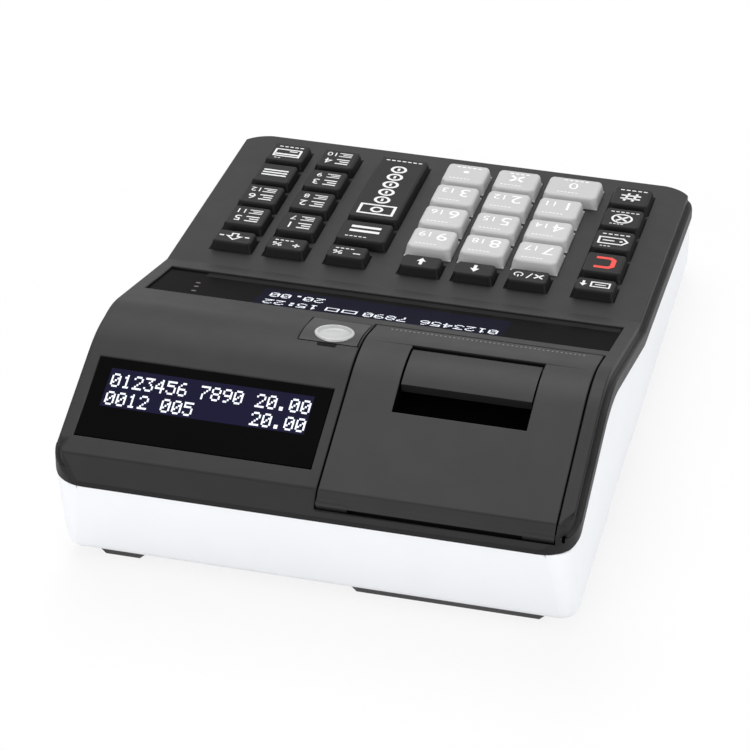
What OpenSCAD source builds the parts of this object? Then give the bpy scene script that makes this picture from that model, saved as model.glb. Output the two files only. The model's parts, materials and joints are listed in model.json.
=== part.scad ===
// Compact till: a cash register with a keyboard facing the operator (-Y), a
// customer display and a receipt printer facing the customer (+Y).
// The origin is under the middle of the case, on the surface it stands on.

/* [Case] */
// Width of the top deck
deck_w = 168; // [160:1:190]
// Depth of the top deck, from the customer fold to the operator edge
deck_d = 238; // [232:1:260]
// Height of the fold at the customer end
fold_z = 48; // [46:1:60]
// Distance from the customer fold back to the crest
crest_back = 56; // [54:1:60]
// Depth of the slope that carries the operator window
display_d = 70; // [68:1:76]
// Slope of the customer side of the roof, in degrees
rear_angle = 19.6; // [17:0.1:22]
// Slope of the operator window, in degrees
display_angle = 18; // [16:0.1:20]
// Slope of the keyboard, in degrees
key_angle = 5.6; // [4:0.1:7]
// Radius of the rounded crest
crest_r = 40; // [30:1:42]
// Radius of the crease between window and keyboard
valley_r = 6; // [3:1:12]
// Wall thickness of the top shell
top_wall = 2.4; // [1.8:0.1:3]
// Wall thickness of the base shell
base_wall = 2.5; // [2:0.1:3.5]
// How far the skirt flares out at each end
flare_end = 5; // [3:0.5:7]
// How far the skirt flares out at each side
flare_side = 2; // [1:0.5:3]
// How far the flared face drops at the ends
flare_drop = 7; // [5:0.5:8]
// Height of the skirt below the deck
skirt_h = 9; // [8:0.5:11]
// Depth of the groove between the two shells
groove_h = 0.7; // [0.4:0.1:1.2]
// Lean of the customer face of the base, top to bottom
face_lean = 13; // [8:1:18]
// Height of the underside of the base above the table
base_z = 3; // [2:0.5:5]
// Rise of the arch in the underside of the base
arch_rise = 5; // [3:0.5:6]

/* [Keys] */
// Spacing of neighbouring keys
key_pitch = 19.1; // [19:0.1:20]
// Length of an ordinary key top
key_l = 15.2; // [14:0.1:15.6]
// Width of a black key top
key_w = 13.5; // [12:0.1:14.4]
// Length of a short key top in the first row
short_l = 9.3; // [8:0.1:11]
// Width of a number key top
digit_w = 15.2; // [14:0.1:15.6]
// Width of the zero key top
zero_w = 19.2; // [17:0.1:19.6]
// Width of the total and cash keys
wide_w = 17.5; // [15:0.1:18.5]
// Height of a black key above the deck
key_h = 3.4; // [2.5:0.1:5]
// Height of a number key above the deck
digit_h = 4.2; // [2.5:0.1:6]
// How much a key widens on each side towards the deck
key_taper = 0.8; // [0.3:0.1:1]
// Gap between a key and its hole
key_gap = 0.3; // [0.2:0.05:0.4]
// How far a key travels
key_travel = 2; // [1:0.1:2.4]
// Thickness of the flange that keeps a key in
key_flange = 1; // [0.6:0.1:1.4]
// Distance from the crease to the middle of the first key row
first_row = 17.4; // [16:0.1:19]
// Distance from the crease to the middle of the second key row
second_row = 35.3; // [35:0.1:36]

/* [Displays] */
// Distance from the edge of the deck to the customer window
cust_edge = 4; // [3:0.1:8]
// Gap between the paper lid and the customer window
cust_gap = 4.1; // [2:0.1:8]
// Length of the customer window down the slope
cust_l = 32; // [26:0.1:33]
// Distance from the fold up to the customer window
cust_s = 7.4; // [6:0.1:8]
// Width of the dark border beside the lit area of the customer display
cust_border = 5.2; // [4:0.1:8]
// Height of the lit area of the customer display
cust_lcd_l = 16; // [12:1:18]
// Distance from the edge of the deck to the operator window
oper_edge = 4.5; // [4.5:0.1:9]
// Length of the operator window down the slope
oper_l = 33.5; // [28:0.1:34]
// Distance from the crest down to the operator window
oper_s = 31.4; // [31:0.1:32]
// Width of the lit area of the operator display
oper_lcd_w = 86; // [70:1:90]
// Height of the lit area of the operator display
oper_lcd_l = 22; // [16:1:24]
// Thickness of both windows
window_t = 1.5; // [1:0.1:1.8]
// Depth that the operator window sits below the deck
oper_sink = 0.8; // [0.4:0.1:0.8]
// Thickness of a display module
lcd_t = 4; // [3:0.1:6]

/* [Printer] */
// Width of the paper lid
lid_w = 76.4; // [74:0.1:76.4]
// Distance from the edge of the deck to the paper lid
lid_edge = 5.1; // [5:0.1:6]
// Thickness of the paper lid
lid_t = 2.2; // [1.8:0.1:2.4]
// Gap around the paper lid
lid_gap = 0.5; // [0.3:0.05:0.8]
// How far the lid reaches past the crest, down the window slope
lid_reach = 24.4; // [23:0.1:25]
// Width of the finger recess in the lid
recess_w = 44; // [36:1:50]
// Length of the finger recess
recess_l = 30.7; // [28:0.1:31]
// Distance from the fold up to the finger recess
recess_s = 34; // [32:0.1:35]
// Depth of the finger recess
recess_t = 8.2; // [8:0.1:8.4]
// Wall of the finger recess
recess_wall = 1.6; // [1.2:0.1:2]
// Distance from the lower edge of the recess up to the lip of the lever
lever_open = 11.5; // [9:0.1:13]
// Thickness of the lever plate
lever_t = 2.6; // [2.2:0.1:3.2]
// Diameter of the pins of the lid and the lever
pin_d = 2.4; // [2:0.1:2.6]
// Radial clearance of a pin or shaft in its bore
fit = 0.05; // [0.02:0.01:0.08]
// Width of the paper roll
roll_w = 57; // [57:0.5:58]
// Diameter of the paper roll
roll_d = 39; // [30:1:40]
// Diameter of the core of the paper roll
core_d = 12; // [10:0.5:14]
// Gap between the roll and its cradle
roll_gap = 0.3; // [0.2:0.1:0.5]
// Diameter of the rubber platen
platen_d = 9.6; // [8:0.1:10]
// Diameter of the platen shaft
shaft_d = 4; // [3:0.1:5]
// Teeth on each feed gear
gear_teeth = 20; // [16:1:24]
// Module of the feed gears
gear_module = 0.6; // [0.5:0.05:0.65]

/* [Seal and feet] */
// Width of the seal cover
seal_w = 19.6; // [17:0.1:19.8]
// Diameter of the seal plug
plug_d = 13.2; // [10:0.1:14]
// Length of the long foot pad
long_pad = 71; // [50:1:75]
// Length of the short foot pad
short_pad = 22; // [15:1:30]
// Depth of a foot pad
pad_d = 12; // [8:1:16]
// Diameter of the round feet on the operator side
foot_d = 14; // [10:1:18]

/* [Hidden] */
$fn = 48;
// Overlap that makes two shapes one, and the gap of surfaces that almost meet
tiny = 0.01;
touch = 0.3;
// Lengths that run past whatever they cut
tall = 100;
through = 9;

// Case outline, as points [y, z]
fold_y = deck_d / 2;
end_y = fold_y + flare_end;
crest_y = fold_y - crest_back;
crest_z = fold_z + crest_back * tan(rear_angle);
valley_y = crest_y - display_d;
valley_z = crest_z - display_d * tan(display_angle);
front_z = valley_z - (valley_y + fold_y) * tan(key_angle);
seam_rear = fold_z - skirt_h;
seam_front = front_z - skirt_h;
case_w = deck_w + 2 * flare_side;
base_w = case_w - 1;
base_end = end_y - 0.8;
corner_r = 11;
arch_end = 62;
arch_top_end = 48;
arch_top_start = 16;
arch_start = -16;

// Outward normals of the faces, as [y, z]
n_rear = [sin(rear_angle), cos(rear_angle)];
n_window = [-sin(display_angle), cos(display_angle)];
n_keys = [-sin(key_angle), cos(key_angle)];
n_flare = [flare_drop, flare_end] / norm([flare_drop, flare_end]);
n_flare_front = [-n_flare[0], n_flare[1]];

// Centres of the crest and crease arcs
crest_c = [crest_y, crest_z] - crest_r * (n_rear + n_window) / (1 + n_rear * n_window);
valley_c = [valley_y, valley_z] + valley_r * (n_window + n_keys) / (1 + n_window * n_keys);

// Windows
lid_x = lid_edge + (lid_w - deck_w) / 2;
cust_w = deck_w - lid_edge - lid_w - cust_gap - cust_edge;
mid_cust_x = (deck_w - cust_w) / 2 - cust_edge;
cust_lcd_w = cust_w - 2 * cust_border;
oper_w = deck_w - 2 * oper_edge;

// Key columns and rows
col_left = -65;
col_digit = -41.5;
col_wide = 21.3;
col_item = 45.2;
rows = [first_row, for (i = [0:3]) second_row + i * key_pitch];
cash_rows = 2 * key_pitch + key_l;

// Each key: name, middle x, distance from the crease, width, length, height
DIGITS = [["key_7", 0, 1], ["key_8", 1, 1], ["key_9", 2, 1],
          ["key_4", 0, 2], ["key_5", 1, 2], ["key_6", 2, 2],
          ["key_1", 0, 3], ["key_2", 1, 3], ["key_3", 2, 3],
          ["key_multiply", 1, 4], ["key_point", 2, 4]];
LEFT = ["key_feed", "key_clear", "key_price", "key_void", "key_code"];
TOP = ["key_power", "key_up", "key_down"];
ITEMS = [["key_plus_percent", 0, 0], ["key_item_1", 0, 1], ["key_item_2", 0, 2],
         ["key_item_3", 0, 3], ["key_item_4", 0, 4],
         ["key_shift", 1, 0], ["key_item_5", 1, 1], ["key_item_6", 1, 2],
         ["key_menu", 1, 3], ["key_card", 1, 4]];
KEYS = concat(
    [for (k = DIGITS) [k[0], col_digit + k[1] * key_pitch, rows[k[2]], digit_w, key_l, digit_h]],
    [["key_0", col_digit - (zero_w - digit_w) / 2, rows[4], zero_w, key_l, digit_h]],
    [for (i = [0:4]) [LEFT[i], col_left, rows[i], key_w, i == 0 ? short_l : key_l, key_h]],
    [for (i = [0:2]) [TOP[i], col_digit + i * key_pitch, rows[0], key_w, short_l, key_h]],
    [for (k = ITEMS) [k[0], col_item + k[1] * key_pitch, rows[k[2]], key_w,
                      k[2] == 0 ? short_l : key_l, key_h]],
    [["key_minus_percent", col_wide + (wide_w - key_w) / 2, rows[0], key_w, short_l, key_h],
     ["key_total", col_wide, rows[1], wide_w, key_l, key_h],
     ["key_cash", col_wide, rows[3], wide_w, cash_rows, key_h]]);

// Keyboard layers, as depths below the deck
flange_top = top_wall + key_gap;
mat_top = flange_top + key_flange + key_travel + key_gap;
mat_t = 1;
board_t = 1.6;
board_top = mat_top + mat_t;

// Lid
lip_z = fold_z - 4.2;
rail_top = fold_z - 5.4;
hinge_y = fold_y + 1.1;
hinge_z = fold_z - 4.6;
barrel_r = 1.9;
barrel_l = 10;
trough_r = barrel_r + 0.7;
lid_end_y = crest_y - lid_reach * cos(display_angle);
lever_w = recess_w - 1;
lever_barrel_r = lever_t / 2 + 0.7;
lever_depth = touch + 0.1 + lever_barrel_r;
lever_y1 = fold_y - (recess_s + lever_open) * cos(rear_angle);
recess_top = [fold_y, fold_z] + rear_point(recess_s + recess_l, -4.7);
lever_pin_a = asin((recess_top[0] + lever_barrel_r + 0.5 - crest_c[0]) / crest_r);
lever_pin = crest_c + (crest_r - lever_depth) * [sin(lever_pin_a), cos(lever_pin_a)];
lever_y0 = lever_pin[0];

// Seal beside the lid
seal_gap = 1.4;
seal_x = lid_x + (lid_w + seal_w) / 2 + seal_gap;
seal_y0 = crest_y - 23 * cos(display_angle);
seal_y1 = crest_y - 0.8;
plug_y = crest_y - 8;
plug_angle = asin((plug_y - crest_c[0]) / crest_r);

// Platen and feed gears
platen_y = lid_end_y + 6;
platen_z = 52.4;
platen_l = roll_w + 1;
cheek_t = 2;
cheek_x = platen_l / 2 + 0.5;
gear_pitch_r = gear_teeth * gear_module / 2;
gear_t = 3;
gear_x = lid_x + cheek_x + cheek_t + 0.3;
drive_y = platen_y;
drive_z = platen_z - 2 * gear_pitch_r;
motor_d = 13;
motor_l = 14;
motor_shaft = 2;
head_t = 2.4;
head_y = platen_y - platen_d / 2 - touch - head_t / 2;
shelf_t = 2;

// Boards, supply socket and battery
board_w = deck_w - 38;
board_d = 84;
board_y = -50;
board_z = 12;
socket_w = 9;
socket_bore = 6.3;
socket_deep = 9;
socket_x0 = board_w / 2 - 4;
socket_x1 = base_w / 2 - base_wall - touch;
socket_z = board_z + board_t + socket_w / 2;
pack_w = 54;
pack_d = 36;
pack_h = 20;

// Paper roll and its cradle
roll_y = fold_y - 33;
roll_z = base_z + base_wall + 2.4 + roll_d / 2 + roll_gap;
cradle_t = 2;
cradle_foot = 24;
cradle_foot_drop = 10;
cradle_r = roll_d / 2 + roll_gap;

// ---- Outlines -------------------------------------------------------------

// Step from the fold to a point s up the customer slope and h above it
function rear_point(s, h) = [h * sin(rear_angle) - s * cos(rear_angle),
                             h * cos(rear_angle) + s * sin(rear_angle)];

// A corner between two faces, moved inwards by t
function corner(p, n1, n2, t) = p - t * (n1 + n2) / (1 + n1 * n2);

// Deck outline from the customer fold to the operator edge, t below the surface
function deck_line(t) = concat(
    [corner([fold_y, fold_z], n_flare, n_rear, t)],
    [for (i = [0:12]) let (a = rear_angle - (rear_angle + display_angle) * i / 12)
        crest_c + (crest_r - t) * [sin(a), cos(a)]],
    [for (i = [0:4]) let (a = display_angle + (key_angle - display_angle) * i / 4)
        valley_c - (valley_r + t) * [-sin(a), cos(a)]],
    [corner([-fold_y, front_z], n_keys, n_flare_front, t)]);

// Whole outline with the flared ends, down to height z
function case_line(t, z) = concat(
    [[end_y - t, z], corner([end_y, fold_z - flare_drop], [1, 0], n_flare, t)],
    deck_line(t),
    [corner([-end_y, front_z - flare_drop], n_flare_front, [-1, 0], t), [t - end_y, z]]);

// Everything below the seam, lowered by t
function seam_area(t) = concat(
    [[end_y + through, -through], [end_y + through, seam_rear - t]],
    [for (p = deck_line(0)) p - [0, skirt_h + t]],
    [[-end_y - through, seam_front - t], [-end_y - through, -through]]);

// Base outline: leaning customer face, arched underside, t inside the surface
base_lean = atan(face_lean / (seam_rear - base_z));
over = 20;
function base_line(t, floor_t) = [
    [base_end + over * tan(base_lean) - t, seam_rear + over],
    [base_end - face_lean - t, base_z + floor_t],
    [arch_end - t, base_z + floor_t], [arch_top_end - t, base_z + arch_rise + floor_t],
    [arch_top_start + t, base_z + arch_rise + floor_t], [arch_start + t, base_z + floor_t],
    [-base_end + t, base_z + floor_t], [-base_end + t, seam_rear + over]];

// ---- Helpers --------------------------------------------------------------

// Extrude an outline of [y, z] points across the case, w wide
module across(w, points) {
    rotate([90, 0, 90])
        linear_extrude(w, center = true)
            polygon(points);
}

// Plate with rounded corners, centred in x and y, standing on z = 0
module rounded_plate(w, d, r, h) {
    linear_extrude(h)
        union() {
            square([w, d - 2 * r], center = true);
            square([w - 2 * r, d], center = true);
            for (x = [-1, 1], y = [-1, 1])
                translate([x * (w / 2 - r), y * (d / 2 - r)])
                    circle(r);
        }
}

// Box centred in x and y, from z0 up to z1
module block(w, d, z0, z1) {
    translate([-w / 2, -d / 2, z0])
        cube([w, d, z1 - z0]);
}

// Round bar along x
module bar(d, l) {
    rotate([0, 90, 0])
        cylinder(d = d, h = l, center = true);
}

// Places in the plane of a sloped face: x, distance along it, height above it
module on_keys(x, v, h = 0) {
    translate([0, valley_y, valley_z])
        rotate([key_angle, 0, 0])
            translate([x, -v, h])
                children();
}

module on_window_slope(x, v, h = 0) {
    translate([0, crest_y, crest_z])
        rotate([display_angle, 0, 0])
            translate([x, -v, h])
                children();
}

module on_rear_slope(x, s, h = 0) {
    translate([0, fold_y, fold_z])
        rotate([-rear_angle, 0, 0])
            translate([x, -s, h])
                children();
}

// Skin of the deck between depths t0 and t1, w wide, between y0 and y1
module deck_skin(x, w, t0, t1, y0, y1) {
    intersection() {
        translate([x, 0, 0])
            across(w, concat(deck_line(t0), [for (i = [len(deck_line(t1)) - 1:-1:0]) deck_line(t1)[i]]));
        translate([x, (y0 + y1) / 2, 0])
            block(w, y1 - y0, 0, tall);
    }
}

// Spur gear along x with slim teeth, so that a meshed pair keeps a backlash
module spur_gear(bore_d, phase) {
    tooth = gear_module * 0.62;
    rotate([0, 90, 0])
        linear_extrude(gear_t)
            difference() {
                union() {
                    circle(gear_pitch_r - 1.1 * gear_module);
                    for (i = [0:gear_teeth - 1])
                        rotate(phase + i * 360 / gear_teeth)
                            polygon([[gear_pitch_r - 1.6 * gear_module, -tooth],
                                     [gear_pitch_r + 0.8 * gear_module, -tooth * 0.45],
                                     [gear_pitch_r + 0.8 * gear_module, tooth * 0.45],
                                     [gear_pitch_r - 1.6 * gear_module, tooth]]);
                }
                circle(d = bore_d);
            }
}

// ---- Case -----------------------------------------------------------------

SCREWS = [[deck_w / 2 - 4, fold_y - 14], [4 - deck_w / 2, valley_y + 8],
          [deck_w / 2 - 14, 6.5 - fold_y], [14 - deck_w / 2, 6.5 - fold_y]];
screw_d = 3;
pilot_d = screw_d + 0.1;
post_d = 7;
post_top = 24;
head_h = 2.4;
head_d = 5.6;

module screw_places() {
    for (p = SCREWS)
        translate([p[0], p[1], 0])
            children();
}

module base_shell() {
    color("white")
        difference() {
            union() {
                difference() {
                    intersection() {
                        across(base_w, base_line(0, 0));
                        rounded_plate(base_w, 2 * base_end, corner_r, tall);
                        across(base_w, seam_area(0));
                    }
                    intersection() {
                        across(base_w - 2 * base_wall, base_line(base_wall, base_wall));
                        rounded_plate(base_w - 2 * base_wall, 2 * (base_end - base_wall),
                                      corner_r - base_wall, tall);
                    }
                    difference() {
                        translate([0, 0, -groove_h])
                            across(case_w + 2, [for (p = seam_area(0)) p[1] < 0 ? [p[0], 2 * tall] : p]);
                        rounded_plate(base_w - 2, 2 * base_end - 2, corner_r - 1, tall);
                    }
                }
                intersection() {
                    screw_places()
                        translate([0, 0, base_z + 0.5])
                            cylinder(d = post_d, h = post_top - base_z - 0.5);
                    rounded_plate(base_w - 1, 2 * base_end - 1, corner_r, tall);
                }
                for (x = [-1, 1], y = [-1, 1])
                    translate([x * (board_w / 2 - 6), board_y + y * (board_d / 2 - 6), base_z + 1])
                        cylinder(d = 6, h = board_z - base_z - 1);
            }
            screw_places() {
                translate([0, 0, base_z - 1])
                    cylinder(d = head_d + 0.6, h = 1 + head_h);
                cylinder(d = pilot_d, h = tall);
            }
            translate([base_w / 2, board_y, socket_z])
                bar(socket_w - 1, 4 * base_wall);
        }
}

module top_shell() {
    color("#3a3838")
        difference() {
            union() {
                top_skin();
                hinge_rail();
                keyboard_posts();
                screw_bosses();
            }
            lid_pins(pin_d + 2 * fit, 1);
            translate([lid_x, hinge_y, hinge_z])
                bar(2 * trough_r, lid_w + 2 * lid_gap);
        }
}

// Deck and skirt with every opening
module top_skin() {
    difference() {
        intersection() {
            across(case_w, case_line(0, 0));
            union() {
                rounded_plate(deck_w, 2 * end_y, corner_r, tall);
                intersection() {
                    rounded_plate(case_w, 2 * end_y, corner_r + 1, tall);
                    across(case_w, seam_area(4 - skirt_h));
                }
            }
        }
        across(case_w + 2, seam_area(0));
        intersection() {
            across(deck_w - 2 * top_wall, case_line(top_wall, 0));
            rounded_plate(deck_w - 2 * top_wall, 2 * (end_y - top_wall), corner_r - top_wall, tall);
        }
        key_holes();
        window_holes();
        lid_hole();
        seal_pocket();
    }
}

module key_holes() {
    for (k = KEYS)
        on_keys(k[1], k[2])
            block(k[3] + 2 * (key_taper + key_gap), k[4] + 2 * (key_taper + key_gap), -through, through);
}

module window_holes() {
    on_rear_slope(mid_cust_x, cust_s + cust_l / 2) {
        block(cust_w + 0.2, cust_l + 0.2, -window_t, through);
        block(cust_lcd_w + 4, cust_lcd_l + 4, -through, through);
    }
    on_window_slope(0, oper_s + oper_l / 2) {
        block(oper_w + 0.2, oper_l + 0.2, -window_t - oper_sink + 0.6, through);
        block(oper_lcd_w + 4, oper_lcd_l + 4, -through, through);
    }
}

module lid_hole() {
    translate([lid_x, 0, 0])
        intersection() {
            across(lid_w + 2 * lid_gap, case_line(-1, 0));
            translate([0, (lid_end_y + end_y) / 2, 0])
                block(lid_w + 2 * lid_gap, end_y - lid_end_y + 2 * lid_gap + 1, rail_top, tall);
        }
}

// Rail across the customer end that the lid hinges in
module hinge_rail() {
    translate([lid_x, fold_y - 1.2, 0])
        block(lid_w + 2 * lid_gap + 2, 8, seam_rear + 0.2, rail_top + tiny);
}

// Posts of the keyboard: left of the digits, and either side of the wide column
digit_post = 12.2;
wide_post = 12.9;
item_post = 12.95;
key_post_d = 4.2;
POSTS = [for (p = [[col_digit - digit_post, 1.5], [col_wide - wide_post, 3], [col_wide + item_post, 3]],
              row = [-0.5, p[1]])
            [p[0], second_row + row * key_pitch]];

module keyboard_posts() {
    for (p = POSTS)
        on_keys(p[0], p[1], -board_top)
            cylinder(d = key_post_d, h = board_top - top_wall + 0.2);
}

module screw_bosses() {
    difference() {
        intersection() {
            screw_places()
                translate([0, 0, post_top])
                    cylinder(d = post_d, h = tall);
            across(base_w - 2 * base_wall - 0.4, case_line(window_t + 0.2, 0));
        }
        screw_places()
            cylinder(d = pilot_d, h = post_top + 6);
    }
}

module case_screws() {
    color("silver")
        screw_places()
            union() {
                translate([0, 0, base_z])
                    cylinder(d = head_d, h = head_h);
                translate([0, 0, base_z + head_h - tiny])
                    cylinder(d = screw_d, h = post_top + 5 - base_z - head_h);
            }
}

module foot_pads() {
    color("#4a4a4a")
        union() {
            foot_pad(deck_w / 2 - 6 - short_pad / 2, short_pad);
            foot_pad(-deck_w / 2 + 6 + long_pad / 2, long_pad);
            for (x = [-1, 1])
                translate([x * (deck_w / 2 - 26), -fold_y + 26, 0])
                    cylinder(d = foot_d, h = base_z);
        }
}

module foot_pad(x, l) {
    chamfer = 3;
    translate([x, base_end - face_lean - 2 - pad_d / 2, 0])
        rotate([90, 0, 0])
            linear_extrude(pad_d, center = true)
                polygon([[-l / 2, base_z], [-l / 2 + chamfer, 0],
                         [l / 2 - chamfer, 0], [l / 2, base_z]]);
}

module seal_pocket() {
    deck_skin(seal_x, seal_w + 0.4, -1, 1.4, seal_y0 - 0.2, seal_y1 + 0.2);
}

// Places on the rounded crest above the seal
module on_seal(h = 0) {
    translate([seal_x - 0.6, crest_c[0], crest_c[1]])
        rotate([-plug_angle, 0, 0])
            translate([0, 0, crest_r + h])
                children();
}

module seal_cover() {
    color("#3d3b3b")
        difference() {
            deck_skin(seal_x, seal_w, 0, 1.4, seal_y0, seal_y1);
            on_seal(-0.9)
                cylinder(d = plug_d + 0.1, h = through);
        }
}

module seal_plug() {
    color("#d8d8d8")
        on_seal(-0.9)
            cylinder(d = plug_d, h = 1.3);
}

// ---- Windows and displays -------------------------------------------------

module customer_window() {
    color("#141414")
        on_rear_slope(mid_cust_x, cust_s + cust_l / 2, -window_t)
            block(cust_w, cust_l, 0, window_t);
}

module customer_display() {
    color("#28264a")
        on_rear_slope(mid_cust_x, cust_s + cust_l / 2)
            union() {
                block(cust_lcd_w + 3, cust_lcd_l + 3, -top_wall - tiny, -window_t);
                block(cust_lcd_w + 3, cust_lcd_l + 5, -top_wall - lcd_t, -top_wall);
            }
}

module operator_window() {
    color("#1c1a19")
        on_window_slope(0, oper_s + oper_l / 2, -window_t - oper_sink + 0.6)
            block(oper_w, oper_l, 0, window_t - 0.6);
}

module operator_display() {
    color("#28264a")
        on_window_slope(0, oper_s + oper_l / 2)
            union() {
                block(oper_lcd_w + 3, oper_lcd_l + 3, -top_wall - tiny,
                      -window_t - oper_sink + 0.6);
                block(oper_lcd_w + 8, oper_lcd_l + 6, -top_wall - lcd_t, -top_wall);
            }
}

// ---- Keyboard -------------------------------------------------------------

// One key cap: tapered top, stem through the deck and a flange under it
module key_cap(w, l, h) {
    foot = key_taper;
    union() {
        intersection() {
            rotate([90, 0, 0])
                linear_extrude(l + 2 * foot, center = true)
                    polygon([[-w / 2 - foot, 0], [w / 2 + foot, 0], [w / 2, h], [-w / 2, h]]);
            across(w + 2 * foot, [[-l / 2 - foot, 0], [l / 2 + foot, 0], [l / 2, h], [-l / 2, h]]);
        }
        block(w + 2 * foot, l + 2 * foot, -flange_top - tiny, tiny);
        block(w + 2 * foot + 0.8, l + 2 * foot + 0.8, -flange_top - key_flange, -flange_top);
    }
}

module key(k) {
    color(k[5] == digit_h ? "#c8c8c8" : "#333131")
        on_keys(k[1], k[2])
            key_cap(k[3], k[4], k[5]);
}

key_field_v = (first_row + rows[4]) / 2;
key_field_l = rows[4] - first_row + key_l;
// How far the mat and the board stay inside the deck, and reach past the keys
mat_inset = 10;
mat_reach = 1;
board_inset = 9;
board_reach = 2;
layer_r = 3;

module key_mat() {
    color("#606468")
        difference() {
            on_keys(0, key_field_v, -mat_top - mat_t)
                rounded_plate(deck_w - 2 * mat_inset, key_field_l + 2 * mat_reach, layer_r, mat_t);
            for (p = POSTS)
                on_keys(p[0], p[1], -board_top - 1)
                    cylinder(d = key_post_d + 0.6, h = 4);
        }
}

module key_board() {
    color("#1f6b3a")
        on_keys(0, key_field_v, -board_top - board_t)
            rounded_plate(deck_w - 2 * board_inset, key_field_l + 2 * board_reach, layer_r, board_t);
}

// ---- Printer --------------------------------------------------------------

module paper_lid() {
    color("#3c3a3a")
        difference() {
            union() {
                deck_skin(lid_x, lid_w, 0, lid_t, lid_end_y, fold_y + 0.5);
                lid_lip();
                lid_barrels();
                intersection() {
                    on_rear_slope(lid_x, recess_s + recess_l / 2)
                        block(recess_w + 2 * recess_wall, recess_l + 2 * recess_wall,
                              -recess_t - recess_wall, 0);
                    translate([lid_x, 0, 0])
                        across(lid_w, case_line(lid_t / 2, 0));
                }
                lid_cheeks();
            }
            recess_space();
            lever_axle(pin_d, lever_pin_l);
            translate([lid_x, platen_y, platen_z])
                bar(shaft_d + 2 * fit, lid_w);
            tear_seat();
            lid_pins(pin_d + 2 * fit, 1);
        }
}

// Fold of the lid down the customer face
module lid_lip() {
    intersection() {
        difference() {
            translate([lid_x, 0, 0])
                across(lid_w, case_line(0, 0));
            translate([lid_x, 0, 0])
                across(lid_w + 1, case_line(lid_t, 0));
        }
        translate([lid_x, fold_y + 1, 0])
            block(lid_w, 8, lip_z, tall);
    }
}

// Barrels of the hinge, at both ends of the lip
module lid_barrels() {
    for (s = [-1, 1])
        translate([lid_x + s * (lid_w - barrel_l) / 2, hinge_y, hinge_z])
            union() {
                bar(2 * barrel_r, barrel_l);
                translate([-barrel_l / 2, -barrel_r, 0])
                    cube([barrel_l, barrel_r * 1.3, 2.6]);
            }
}

// Pins of the lid hinge, or their bores, longer by extra at each end
module lid_pins(d, extra) {
    pin_l = barrel_l + 3;
    for (s = [-1, 1])
        translate([lid_x + s * (lid_w / 2 + lid_gap + 1.8 - pin_l / 2), hinge_y, hinge_z])
            bar(d, pin_l + 2 * extra);
}

module lid_hinge_pins() {
    color("silver")
        lid_pins(pin_d, 0);
}

module lid_cheeks() {
    for (s = [-1, 1])
        translate([lid_x + s * (cheek_x + cheek_t / 2), 0, 0])
            intersection() {
                across(cheek_t, case_line(lid_t / 2, 0));
                translate([0, platen_y, 0])
                    block(cheek_t, 9, platen_z - 4.5, tall);
            }
}

module recess_space() {
    on_rear_slope(lid_x, recess_s + recess_l / 2)
        block(recess_w, recess_l, -recess_t, through);
}

lever_pin_l = recess_w + 2 * recess_wall - 1;

// Round bar along the axis of the lever
module lever_axle(d, l) {
    translate([lid_x, lever_pin[0], lever_pin[1]])
        bar(d, l);
}

module lid_lever() {
    color("#4b4949")
        difference() {
            union() {
                deck_skin(lid_x, lever_w, touch, touch + lever_t, lever_y0, lever_y1);
                lever_axle(2 * lever_barrel_r, lever_w);
            }
            lever_axle(pin_d + 2 * fit, lever_w + 1);
        }
}

module lever_pin_bar() {
    color("silver")
        lever_axle(pin_d, lever_pin_l);
}

tear_w = lid_w - 10.4;

module tear_seat() {
    on_window_slope(lid_x, lid_reach - 1, -lid_t - 1)
        block(tear_w + 0.4, 3.2, -1, 1.8);
}

module tear_bar() {
    teeth = 44;
    color("#2b2b2b")
        on_window_slope(lid_x, lid_reach - 1, -lid_t + 0.3)
            linear_extrude(0.5)
                union() {
                    translate([-tear_w / 2, -0.4])
                        square([tear_w, 2]);
                    for (i = [0:teeth - 1])
                        translate([((i + 0.5) / teeth - 0.5) * tear_w, -0.4])
                            polygon([[-0.7, tiny], [0.7, tiny], [0, -0.6]]);
                }
}

module platen_roller() {
    color("#2e2e30")
        translate([lid_x, platen_y, platen_z])
            union() {
                bar(platen_d, platen_l);
                bar(shaft_d, 2 * (cheek_x + cheek_t + 0.3) + 2 * gear_t + 1);
            }
}

module platen_gear() {
    color("ivory")
        translate([gear_x, platen_y, platen_z])
            spur_gear(shaft_d, 0);
}

module drive_gear() {
    color("ivory")
        translate([gear_x, drive_y, drive_z])
            union() {
                spur_gear(motor_shaft, 180 / gear_teeth);
                translate([-9, 0, 0])
                    rotate([0, 90, 0])
                        cylinder(d = motor_shaft, h = 9 + gear_t);
            }
}

module printer_frame() {
    plate_y = head_y - head_t / 2 - shelf_t / 2;
    shelf_z = drive_z - motor_d / 2;
    shelf_y0 = plate_y - shelf_t / 2;
    shelf_y1 = platen_y + 8;
    leg_d = 5;
    leg_z = base_z + arch_rise + base_wall;
    color("#8b8f94")
        translate([lid_x, 0, 0])
            union() {
                translate([0, plate_y, 0])
                    block(lid_w - 4, shelf_t, shelf_z - shelf_t, platen_z + 1);
                translate([0, (shelf_y0 + shelf_y1) / 2, 0])
                    block(lid_w - 4, shelf_y1 - shelf_y0, shelf_z - shelf_t, shelf_z);
                for (x = [-1, 1], y = [shelf_y0 + leg_d, shelf_y1 - leg_d])
                    translate([x * (roll_w / 2 + 1), y, leg_z])
                        cylinder(d = leg_d, h = shelf_z - shelf_t - leg_z + tiny);
            }
}

module thermal_head() {
    color("#3b4a52")
        translate([lid_x, head_y, 0])
            block(roll_w, head_t, platen_z - 6, platen_z + 3);
}

module feed_motor() {
    color("#a9adb1")
        translate([gear_x - touch - motor_l, drive_y, drive_z])
            rotate([0, 90, 0])
                difference() {
                    cylinder(d = motor_d, h = motor_l);
                    translate([0, 0, -1])
                        cylinder(d = motor_shaft + 2 * fit, h = motor_l + 2);
                }
}

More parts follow.
